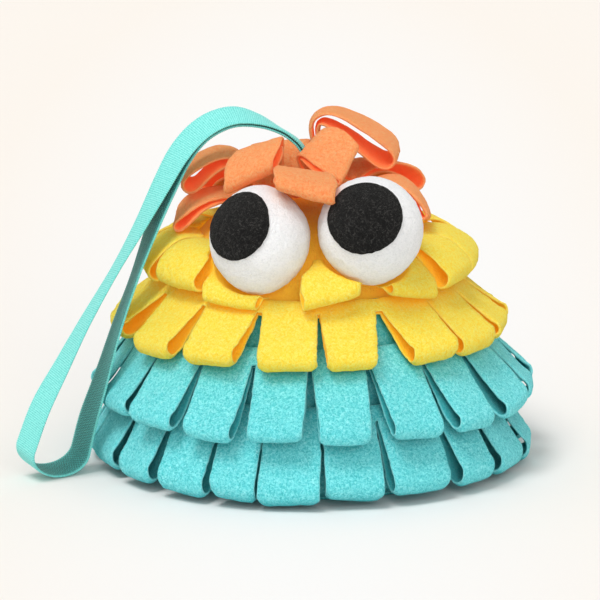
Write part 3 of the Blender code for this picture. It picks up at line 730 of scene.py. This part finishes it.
def make_band(name, draw, seed):
    """A band slit into loops. Its slits are open cells between the loops' columns of points."""
    height, reach, drop, opening, press, front, rest, colour = BANDS[name]
    edges = band_edges(front, rest)
    count = len(edges)
    across, collar = BAND_COLUMNS, BAND_STEPS[0]
    character = random.Random(seed)
    columns, facings, starts = [], [], []
    cut_length = 0.0
    for index, (left, right) in enumerate(edges):
        before = edges[index - 1][1] - (360 if index == 0 else 0)
        after = edges[(index + 1) % count][0] + (360 if index == count - 1 else 0)
        seam_left = (before + left) / 2
        seam_right = (right + after) / 2
        middle = (left + right) / 2
        own_drop = drop + draw.uniform(-VARY_DROP, VARY_DROP)
        aside = (middle - STRAP_SIDE + 180) % 360 - 180
        pressed = press * math.exp(-((aside / PRESS_SPREAD) ** 2))
        own_reach = reach - pressed + draw.uniform(-VARY_REACH, VARY_REACH)
        own_opening = opening + draw.uniform(-VARY_OPENING, VARY_OPENING)
        tilt = draw.uniform(-VARY_TILT, VARY_TILT)
        on = np.array((dome_radius(height), height))
        lift = on + np.array((own_reach * BAND_LIFT_SHARES[0], -own_drop * BAND_LIFT_SHARES[1]))
        normal = dome_normal(height)
        root = on + normal * seam_lift(unit(lift - on), normal)
        fold = on + np.array((own_reach, -own_drop))
        shares, line, facing = fold_line(root, lift, fold, own_opening, *BAND_STEPS)
        cut_length = max(cut_length, line_length(line))
        slit = math.degrees(SLIT_WIDTH / 2 / root[0])
        curl = character.uniform(*BAND_CURL)
        twist = character.uniform(-BAND_TWIST, BAND_TWIST)
        out, side = outward(middle), sideways(middle)
        starts.append(len(columns))
        for step in range(across + 1):
            place = step / across
            low = mix(seam_left + slit, left, shares)
            high = mix(seam_right - slit, right, shares)
            angle = np.radians(mix(low, high, place) - middle)
            lateral = 2 * place - 1
            corner = abs(lateral) ** 10 * BAND_CORNER * np.clip(shares * 8 - 7, 0, 1)
            radial = line[:, 0] + bow_across(lateral, shares, curl, twist)
            offset = radial * np.tan(angle)
            rise = line[:, 1] + lateral * tilt * shares + corner
            point = out * radial[:, None] + side * offset[:, None]
            point[:, 2] += rise
            columns.append(point)
            facings.append(out * facing[:, :1] + UP * facing[:, 1:])
    points = np.stack(columns, axis=1)
    normals = np.stack(facings, axis=1)
    free = np.clip(shares * 2, 0, 1)[:, None, None]
    points = points + drift(points, *BAND_DRIFT, seed) * free
    cells = np.zeros((len(points) - 1, points.shape[1]), bool)
    cells[:collar] = True
    cells[-collar:] = True
    for start in starts:
        cells[:, start:start + across] = True
    points = keep_off_dome(points, FLEECE / 2 + CLEARANCE)
    if colour == "yellow":
        points = keep_off_eyes(points, FLEECE)
    made = cloth(name + "_fleece", points, normals, cells, colour, wrap=True)
    around = line_length(points[len(points) // 2]) * BAND_EASE
    width = np.roll(points, -1, axis=1)[:-1] - points[:-1]
    length = points[1:] - points[:-1]
    area = float((np.linalg.norm(np.cross(width, length), axis=2) * cells).sum())
    area = min(area, around * cut_length)
    finish_cloth(made, name, seed)


# The loose loops

def make_loop(node, values, root_share, colour, seed):
    """A loose strip folded into a loop and sewn on by both its ends."""
    sewn, seam, pointing, lift_out, lift_up, fold_out, fold_up, opening, shift, roll = values
    character = random.Random(seed)
    height = seam * DOME_HEIGHT
    radius = dome_radius(height)
    ahead = math.radians(sewn - pointing)
    out, side = outward(pointing), sideways(pointing)
    foot = np.array((radius * math.cos(ahead), height))
    lift = np.array((lift_out * DOME_RADIUS, lift_up * DOME_HEIGHT))
    fold = np.array((fold_out * DOME_RADIUS, fold_up * DOME_HEIGHT))
    upright = dome_normal(height)
    normal = outward(sewn) * upright[0] + UP * upright[1]
    rise = unit(lift - foot)
    stand = normal * seam_lift(out * rise[0] + UP * rise[1], normal)
    root = foot + np.array((stand @ out, stand[2]))
    start = radius * math.sin(ahead) + float(stand @ side)
    sewing = unit(side - normal * float(side @ normal))
    lean = math.degrees(math.atan2(sewing[2], float(sewing @ side)))
    shares, line, facing = fold_line(root, lift, fold, opening * STRIP_WIDTH, *LOOP_STEPS)
    across = LOOP_COLUMNS
    curl = character.uniform(*LOOP_CURL)
    twist = character.uniform(-LOOP_TWIST, LOOP_TWIST)
    pinch = character.uniform(0.0, LOOP_PINCH)
    points = np.zeros((len(shares), across + 1, 3))
    normals = np.zeros_like(points)
    for row, share in enumerate(shares):
        spin = turn_about(out, mix(lean, roll, share))
        along_width = spin @ side
        normal = spin @ (out * facing[row, 0] + UP * facing[row, 1])
        centre = out * line[row, 0] + UP * line[row, 1]
        centre = centre + side * (start + STRIP_WIDTH * shift * share)
        half = STRIP_WIDTH / 2 * mix(root_share, 1.0, min(1.0, share * 1.25))
        fold_in = max(0.0, share * 8 - 7) * LOOP_CORNER
        for step in range(across + 1):
            lateral = 2 * step / across - 1
            bow = bow_across(lateral, share, curl, twist)
            pleat = math.sin(lateral * math.pi * 2.5) * LOOP_GATHER
            gather = pleat * (1 - share) ** 2 * root_share
            reach = lateral * (half - fold_in * abs(lateral) ** 5)
            points[row, step] = (centre + along_width * reach + out * (bow + gather)
                                 - out * pinch * lateral ** 2 * share)
            normals[row, step] = normal
    free = np.clip(shares * 2, 0, 1)[:, None, None]
    points = points + drift(points, *LOOP_DRIFT, seed) * free
    points = keep_off_dome(points, FLEECE / 2)
    points = keep_off_eyes(points, FLEECE)
    cells = np.ones((len(shares) - 1, across), bool)
    made = cloth(node + "_fleece", points, normals, cells, colour)
    finish_cloth(made, node, seed)


# Closed round surfaces and the stuffed body

def ring_faces(rings):
    """Faces between each ring of vertex numbers and the next, and from the last to the first. A
    ring that repeats one number is a point."""
    faces = []
    for ring, following in zip(rings, rings[1:] + rings[:1]):
        for step in range(len(ring)):
            after = (step + 1) % len(ring)
            corners = [ring[step], ring[after], following[after], following[step]]
            kept = [v for place, v in enumerate(corners) if v not in corners[:place]]
            if len(kept) > 2:
                faces.append(kept)
    return faces


def turned(name, outline, colour):
    """A closed surface turned about the upright axis from an outline of (radius, height)."""
    angles = np.linspace(0, 2 * math.pi, DOME_COLUMNS, endpoint=False)
    vertices, rings = [], []
    for radius, height in outline:
        if radius < 1e-9:
            rings.append([len(vertices)] * DOME_COLUMNS)
            vertices.append((0.0, 0.0, height))
            continue
        rings.append(list(range(len(vertices), len(vertices) + DOME_COLUMNS)))
        vertices.extend((radius * math.cos(t), radius * math.sin(t), height) for t in angles)
    return build(name, vertices, ring_faces(rings), colour)


def dome_outline(inset, bottom, rows, top=None):
    """Points of (radius, height) up the dome, to a height or, without one, to its top."""
    rise = DOME_RISE - inset
    start = math.asin((bottom - WAIST_HEIGHT) / rise)
    end = math.pi / 2 if top is None else math.asin((top - WAIST_HEIGHT) / rise)
    points = []
    for row in range(rows + 1):
        height = WAIST_HEIGHT + rise * math.sin(mix(start, end, row / rows))
        points.append((dome_radius(height, inset), height))
    if top is None:
        points[-1] = (0, WAIST_HEIGHT + rise)
    return points


def make_body():
    """The flat base, the aqua side and the orange crown, closed surfaces as thick as fleece."""
    base = [(0, 0.0), (dome_radius(0) * 0.985, 0.0), (dome_radius(0), 0.0008),
            (dome_radius(FLEECE), FLEECE), (0, FLEECE)]
    panel = turned("base_cover", base, "aqua")
    declare(panel, "toy_body", ["base_panel", "body_stuffing"])
    for name, node, colour, bottom, top in (
            ("dome_cover", "body_side_panel", "aqua", FLEECE + CLEARANCE, PANEL_SEAM_HEIGHT),
            ("crown_cover", "crown_cap", "crown", PANEL_SEAM_HEIGHT + CLEARANCE, None)):
        outer = dome_outline(0, bottom, DOME_ROWS // 2, top)
        inner = dome_outline(FLEECE, bottom, DOME_ROWS // 6, top)
        cover = turned(name, outer + inner[::-1], colour)
        declare(cover, "toy_body", [node])


# The eyes

def ball_radius(directions, centre, side, seed):
    """How far a stuffed ball reaches in some directions. It is a little higher than wide."""
    radius = EYES[side][3]
    base, top, bottom = EYE_SWELL[side]
    high = directions @ EYE_UP
    size = base + np.where(high > 0, top, bottom) * np.abs(high) ** 5
    return radius * size + lumps(directions * radius + centre, EYE_DENTS, seed, 1)


def ball(name, centre, side, flat, axis, seed):
    """A stuffed ball, flat where it is sewn on, drawn in a little towards that seam."""
    work = bmesh.new()
    bmesh.ops.create_icosphere(work, subdivisions=6, radius=1.0)
    mesh = bpy.data.meshes.new(name)
    work.to_mesh(mesh)
    work.free()
    mesh.materials.append(MATERIALS["white"].material)
    mesh.shade_smooth()
    made = show(name, mesh)
    directions = unit(read_points(made))
    points = directions * ball_radius(directions, centre, side, seed)[:, None]
    depth = points @ axis
    behind = np.clip(-flat - depth, 0, None)
    points = points + axis * behind[:, None]
    rim = np.clip(1 - np.abs(depth + flat) / 0.008, 0, 1) ** 2
    points = points - (points - np.outer(points @ axis, axis)) * (rim * 0.05)[:, None]
    write_points(made, points + centre)
    points = read_points(made)
    front = (points - centre) @ axis > -flat + 0.001
    raise_surface(made, lumps(points, EYE_LUMPS, seed + 3, 1) * front)
    return made


def pupil(name, centre, side, eye_seed, seed):
    """A felt disc that follows the ball, with a soft, slightly uneven cut edge."""
    rings, segments = 30, 128
    eye_radius, gaze, radius = EYES[side][3:]
    gaze = unit(np.array(gaze))
    basis = np.array(Vector((0, 0, 1)).rotation_difference(Vector(gaze)).to_matrix())
    spread = math.asin(radius / eye_radius)
    angles = np.linspace(0, 2 * math.pi, segments, endpoint=False)
    circle = np.stack((np.cos(angles), np.sin(angles), np.zeros(segments)), axis=1)
    uneven = 1 + noise(circle, 0.55, seed) * 0.020 + noise(circle, 0.10, seed + 1) * 0.010
    uneven += PUPIL_HEIGHT[side] * (circle @ basis.T)[:, 2] ** 2

    def layer(share, lift):
        turn = spread * share * uneven
        local = np.stack((np.sin(turn) * np.cos(angles), np.sin(turn) * np.sin(angles),
                          np.cos(turn)), axis=1)
        world = local @ basis.T
        reach = ball_radius(world, centre, side, eye_seed) + CLEARANCE
        return world * (reach + FELT * lift)[:, None]

    profile = [(step / rings, 1.0) for step in range(1, rings)]
    profile += [(1.0, 0.86), (1.012, 0.55), (1.010, 0.25), (0.995, 0.0), (0.66, 0.0), (0.33, 0.0)]
    layers = [layer(share, lift) for share, lift in profile]
    middle = float(ball_radius(gaze[None], centre, side, eye_seed)[0])
    top = gaze * (middle + CLEARANCE + FELT)
    under = gaze * (middle + CLEARANCE)
    vertices = np.concatenate([top[None]] + layers + [under[None]]) + centre
    last = len(vertices) - 1
    between = np.arange(1, last).reshape(-1, segments).tolist()
    faces = ring_faces([[0] * segments, *between, [last] * segments])
    made = build(name, vertices, faces, "black")
    points = read_points(made)
    away = points - centre
    surface = ball_radius(unit(away), centre, side, eye_seed)
    raised = np.linalg.norm(away, axis=1) > surface + FELT / 2
    raise_surface(made, lumps(points, PILE_LUMPS, seed + 2, 1) * raised)
    return made


def make_eye(side, seed):
    """A stuffed ball with its felt pupil, both on the eye's own body."""
    centre, axis, distance = eye_place(side)
    eye = side + "_eye"
    cover = ball(eye + "_ball", centre, side, distance - CLEARANCE, axis, seed)
    declare(cover, eye, [eye + "_cover", eye + "_stuffing"])
    disc = pupil(side + "_pupil_felt", centre, side, seed, seed + 7)
    declare(disc, eye, [eye + "_pupil"])


# The strap

def smooth(share, before, start, end, after):
    """A value on the curve through four stations, between the second and the third."""
    return (
        start * 2
        + (end - before) * share
        + (before * 2 - start * 5 + end * 4 - after) * share ** 2
        + (start * 3 - before - end * 3 + after) * share ** 3
    ) * 0.5


def strap_route():
    """The middle line as close stations: place, half gap, roll and distance along."""
    tight = (WEBBING + LAYER_GAP) / 2
    chosen = []
    for reach, depth, height, gap, roll in STRAP_ROUTE_SHARES:
        place = np.array((reach * STRAP_REACH, depth * STRAP_REACH, height * CREST_HEIGHT))
        chosen.append((place, tight + gap * LOOP_HALF_WIDTH, roll))
    last = len(chosen) - 1
    route = [(*chosen[0], 0.0)]
    for index in range(last):
        near = [chosen[max(index - 1, 0)], chosen[index], chosen[index + 1],
                chosen[min(index + 2, last)]]
        for step in range(1, CURVE_STEPS + 1):
            share = step / CURVE_STEPS
            values = [smooth(share, *[point[part] for point in near]) for part in range(3)]
            travelled = route[-1][3] + float(np.linalg.norm(values[0] - route[-1][0]))
            route.append((*values, travelled))
    return route


def station_at(route, distance):
    """Place, half gap and roll at a distance along the route."""
    for before, after in zip(route, route[1:]):
        if after[3] >= distance:
            share = (distance - before[3]) / (after[3] - before[3])
            return tuple(mix(before[part], after[part], share) for part in range(3))
    return route[-1][:3]


def strap_frames(route, start, end):
    """Stations with their directions: place, half gap, along, across and face."""
    count = max(2, round((end - start) / STRAP_STEP))
    distances = np.linspace(start, end, count + 1)
    stations = [station_at(route, distance) for distance in distances]
    places, gaps, rolls = (np.array([station[part] for station in stations])
                           for part in range(3))
    along = unit(np.gradient(places, axis=0))
    back = np.array((0.0, 1.0, 0.0))
    across = unit(back - along * (along @ back)[:, None])
    face = np.cross(along, across)
    turned_across, turned_face = [], []
    for one_along, one_across, one_face, roll in zip(along, across, face, rolls):
        spin = turn_about(one_along, -roll)
        turned_across.append(spin @ one_across)
        turned_face.append(spin @ one_face)
    return places, gaps, along, np.array(turned_across), np.array(turned_face)


def ribbon(name, paths):
    """Woven webbing along each path, all as one mesh, with its ribs and thick selvedges.

    A path is its places, the directions of its face and width there, the distance at which it
    starts, and half the gap between the strap's layers. Each row of points runs across the top
    and back across the underside, which carries painted shade where the layers lie close."""
    edge = np.array(SELVEDGE)
    lateral = np.concatenate((-edge, FLAT_COLUMNS, edge[::-1]))
    off_middle = np.abs(lateral)
    columns = len(lateral)
    width = STRAP_WIDTH / 2 - 0.0002
    bead = np.sqrt(np.clip(1 - ((off_middle - SELVEDGE_MIDDLE) / SELVEDGE_HALF) ** 2, 0, 1))
    thin = np.where(off_middle > SELVEDGE_START, 0.45 + 0.45 * bead, 1.0)
    shade = np.clip((1.0 - off_middle) / SHADE_EDGE, SHADE_LEAST, 1.0)
    vertices, faces, ribs, inner_weave_and_shade_masks, lays = [], [], [], [], []
    base = 0
    for places, faces_dir, acrosses, start, gaps in paths:
        steps = np.linalg.norm(np.diff(places, axis=0), axis=1)
        travelled = np.concatenate(([0.0], np.cumsum(steps))) + start
        phase = 2 * math.pi * travelled / RIB_PITCH
        slant = off_middle[None] * 0.8 + noise(places, 0.004, 71)[:, None] * 0.9
        wave = 0.5 + 0.5 * np.cos(phase[:, None] + slant)
        rib = wave * (1 - off_middle[None] ** 8 * 0.4)
        half = WEBBING / 2 * thin[None] - RIB_HEIGHT + rib * RIB_HEIGHT
        edge_wave = 0.5 + 0.5 * np.cos(phase + 0.8)
        side = places[:, None] + acrosses[:, None] * (lateral * width)[None, :, None]
        reach = off_middle[None] ** 12 * edge_wave[:, None] * SELVEDGE_WAVE
        side = side + acrosses[:, None] * (reach * np.sign(lateral)[None])[..., None]
        top = side + faces_dir[:, None] * half[..., None]
        under = side - faces_dir[:, None] * half[..., None]
        loop = np.concatenate((top, under[:, ::-1]), axis=1)
        rows, ring = loop.shape[:2]
        pressed = np.clip(1.15 - (gaps - gaps.min()) / PRESSED_GAP, PRESSED_LEAST, 1)[:, None]
        index = base + np.arange(rows * ring).reshape(rows, ring)
        after = np.roll(index, -1, axis=1)
        quads = np.stack((index[:-1], after[:-1], after[1:], index[1:]), axis=-1)
        faces += quads.reshape(-1, 4).tolist()
        for end in (index[0].tolist(), index[-1].tolist()):
            for step in range(columns - 1):
                low = 2 * columns - 1 - step
                faces.append([end[step], end[step + 1], end[low - 1], end[low]])
        vertices.append(loop.reshape(-1, 3))
        ribs.append(np.concatenate((rib, rib[:, ::-1]), axis=1).ravel())
        # The underside's mask brings in its weave together with painted shade, less at the edges
        # and where the layers part.
        inner_weave_and_shade_masks.append(np.concatenate((np.zeros_like(rib), shade * pressed), axis=1).ravel())
        across_lay = np.concatenate((lateral, lateral[::-1])) * width
        lay = np.stack(np.broadcast_arrays(across_lay[None], travelled[:, None]), axis=-1)
        lays.append(lay.reshape(-1, 2))
        base += rows * ring
    made = build(name, np.concatenate(vertices), faces, "webbing")
    for kind, values in (("rib", ribs), ("inner_weave_and_shade", inner_weave_and_shade_masks)):
        attribute = made.data.attributes.new(kind, "FLOAT", "POINT")
        attribute.data.foreach_set("value", np.concatenate(values).astype(np.float32))
    corner_vertex = np.empty(len(made.data.loops), np.int64)
    made.data.loops.foreach_get("vertex_index", corner_vertex)
    lay = np.concatenate(lays)[corner_vertex]
    layer = made.data.uv_layers.new(name="UVMap")
    layer.data.foreach_set("uv", lay.astype(np.float32).ravel())
    return made


def make_strap():
    """The strap in two pieces that meet halfway between its root and its bend."""
    route = strap_route()
    length = route[-1][3]
    swing = STRAP_HINGE_SHARE * length
    bend = STRAP_BEND_SHARE * length
    join = (swing + bend) / 2
    places, gaps, _, across, face = strap_frames(route, 0, join)
    upper = ribbon("strap_upper_webbing", [
        (places + face * gaps[:, None], face, across, 0.0, gaps),
        (places - face * gaps[:, None], -face, across, RIB_PITCH / 2, gaps),
    ])
    places, gaps, along, across, face = strap_frames(route, join, length)
    outer = places + face * gaps[:, None]
    inner = places - face * gaps[:, None]
    tip_along, tip_face, tip_across, half = along[-1], face[-1], across[-1], gaps[-1]
    steps = max(8, round(math.pi * (half + LOOP_TIP) / 2 / STRAP_STEP))
    turns = (np.arange(1, steps) * math.pi / steps)[:, None]
    tip = places[-1] + tip_face * half * np.cos(turns) + tip_along * LOOP_TIP * np.sin(turns)
    tip_facing = unit(tip_face * np.cos(turns) * LOOP_TIP + tip_along * np.sin(turns) * half)
    line = np.concatenate((outer, tip, inner[::-1]))
    facing = np.concatenate((face, tip_facing, -face[::-1]))
    acrosses = np.concatenate((across, np.repeat(tip_across[None], len(tip), axis=0),
                               across[::-1]))
    spread = np.concatenate((gaps, np.repeat(half, len(tip)), gaps[::-1]))
    lower = ribbon("strap_loop_webbing", [(line, facing, acrosses, join, spread)])

    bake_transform(upper)
    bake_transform(lower)
    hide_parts("strap_root", "strap_upper")
    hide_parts("strap_loop")


# The stage

def make_floor():
    """White floor that turns faintly cream away from the toy."""
    floor = bpy.data.meshes.new("floor")
    corners = [(-1, -1, 0), (1, -1, 0), (1, 1, 0), (-1, 1, 0)]
    floor.from_pydata([tuple(FLOOR_REACH * x for x in corner) for corner in corners], [],
                      [(0, 1, 2, 3)])
    n = Nodes("pale_floor")
    shape = n.add("ShaderNodeMapping")
    shape.inputs["Location"].default_value = (0.0, -0.25, 0.0)
    shape.inputs["Scale"].default_value = (3.6, 0.62, 1.0)
    n.link(n.place, shape.inputs["Vector"])
    away = n.add("ShaderNodeVectorMath", operation="LENGTH")
    n.link(shape.outputs["Vector"], away.inputs[0])
    colour = n.ramp(away.outputs["Value"], ((0.40, (0.850, 0.853, 0.852)),
                                            (1.0, (0.855, 0.810, 0.755))))
    n.link(colour, n.shader.inputs["Base Color"])
    n.set(Roughness=0.9, Specular_IOR_Level=0.05)
    floor.materials.append(n.material)
    show("floor", floor)


def make_world():
    """Soft light from all round, and a pale cream background where it is seen or mirrored."""
    world = bpy.data.worlds.new("studio")
    bpy.context.scene.world = world
    world.use_nodes = True
    tree = world.node_tree
    soft = tree.nodes["Background"]
    seen = tree.nodes.new("ShaderNodeBackground")
    for node, colour, strength in ((soft, (1.0, 0.99, 0.98), 0.58),
                                   (seen, (1.0, 0.955, 0.895), 1.0)):
        connect(tree, colour, node.inputs["Color"])
        connect(tree, strength, node.inputs["Strength"])
    rays = tree.nodes.new("ShaderNodeLightPath").outputs
    share = rays["Is Camera Ray"]
    for kind in ("Is Glossy Ray", "Is Transmission Ray"):
        larger = tree.nodes.new("ShaderNodeMath")
        larger.operation = "MAXIMUM"
        connect(tree, share, larger.inputs[0])
        connect(tree, rays[kind], larger.inputs[1])
        share = larger.outputs[0]
    chosen = tree.nodes.new("ShaderNodeMixShader")
    for source, socket in zip((share, soft.outputs[0], seen.outputs[0]), chosen.inputs):
        connect(tree, source, socket)
    connect(tree, chosen.outputs[0], tree.nodes["World Output"].inputs["Surface"])


def sun(name, strength, direction, softness):
    """A soft sun that shines from a direction."""
    lamp = bpy.data.lights.new(name, "SUN")
    lamp.energy = strength
    lamp.angle = math.radians(softness)
    made = show(name, lamp)
    made.rotation_euler = (-Vector(direction)).to_track_quat("-Z", "Y").to_euler()


def make_camera():
    """A long lens in front of the toy, looking a little down."""
    camera = bpy.data.cameras.new("camera")
    camera.lens = 300.0
    camera.sensor_width = 36.0
    camera.clip_end = 100.0
    made = show("camera", camera)
    tilt = math.radians(VIEW_TILT)
    distance = VIEW_WIDTH * camera.lens / camera.sensor_width
    made.location = VIEW_TARGET + Vector((0, -math.cos(tilt), math.sin(tilt))) * distance
    made.rotation_euler = (VIEW_TARGET - made.location).to_track_quat("-Z", "Y").to_euler()
    bpy.context.scene.camera = made
    bpy.context.scene.view_settings.view_transform = "Standard"


make_floor()
make_world()
sun("key", 1.60, (-0.32, -0.42, 1.0), 24)
sun("front", 0.88, (0.15, -1.0, 0.50), 35)
make_camera()
make_body()
draw = random.Random(VARY_SEED)
for place, band in enumerate(BANDS):
    make_band(band, draw, 100 + 10 * place)
for place, values in enumerate(YELLOW_LOOPS):
    direction, seam = values[:2]
    make_loop(f"upper_yellow_loop_{place + 1:02d}", (direction, seam, direction, *values[2:]),
              YELLOW_ROOT_SHARE, "yellow", 200 + 10 * place)
for place, values in enumerate(CROWN_LOOPS):
    make_loop("crown_loop_" + values[0], values[1:], CROWN_ROOT_SHARE, "orange",
              400 + 10 * place)
make_eye("left", 31)
make_eye("right", 57)
make_strap()
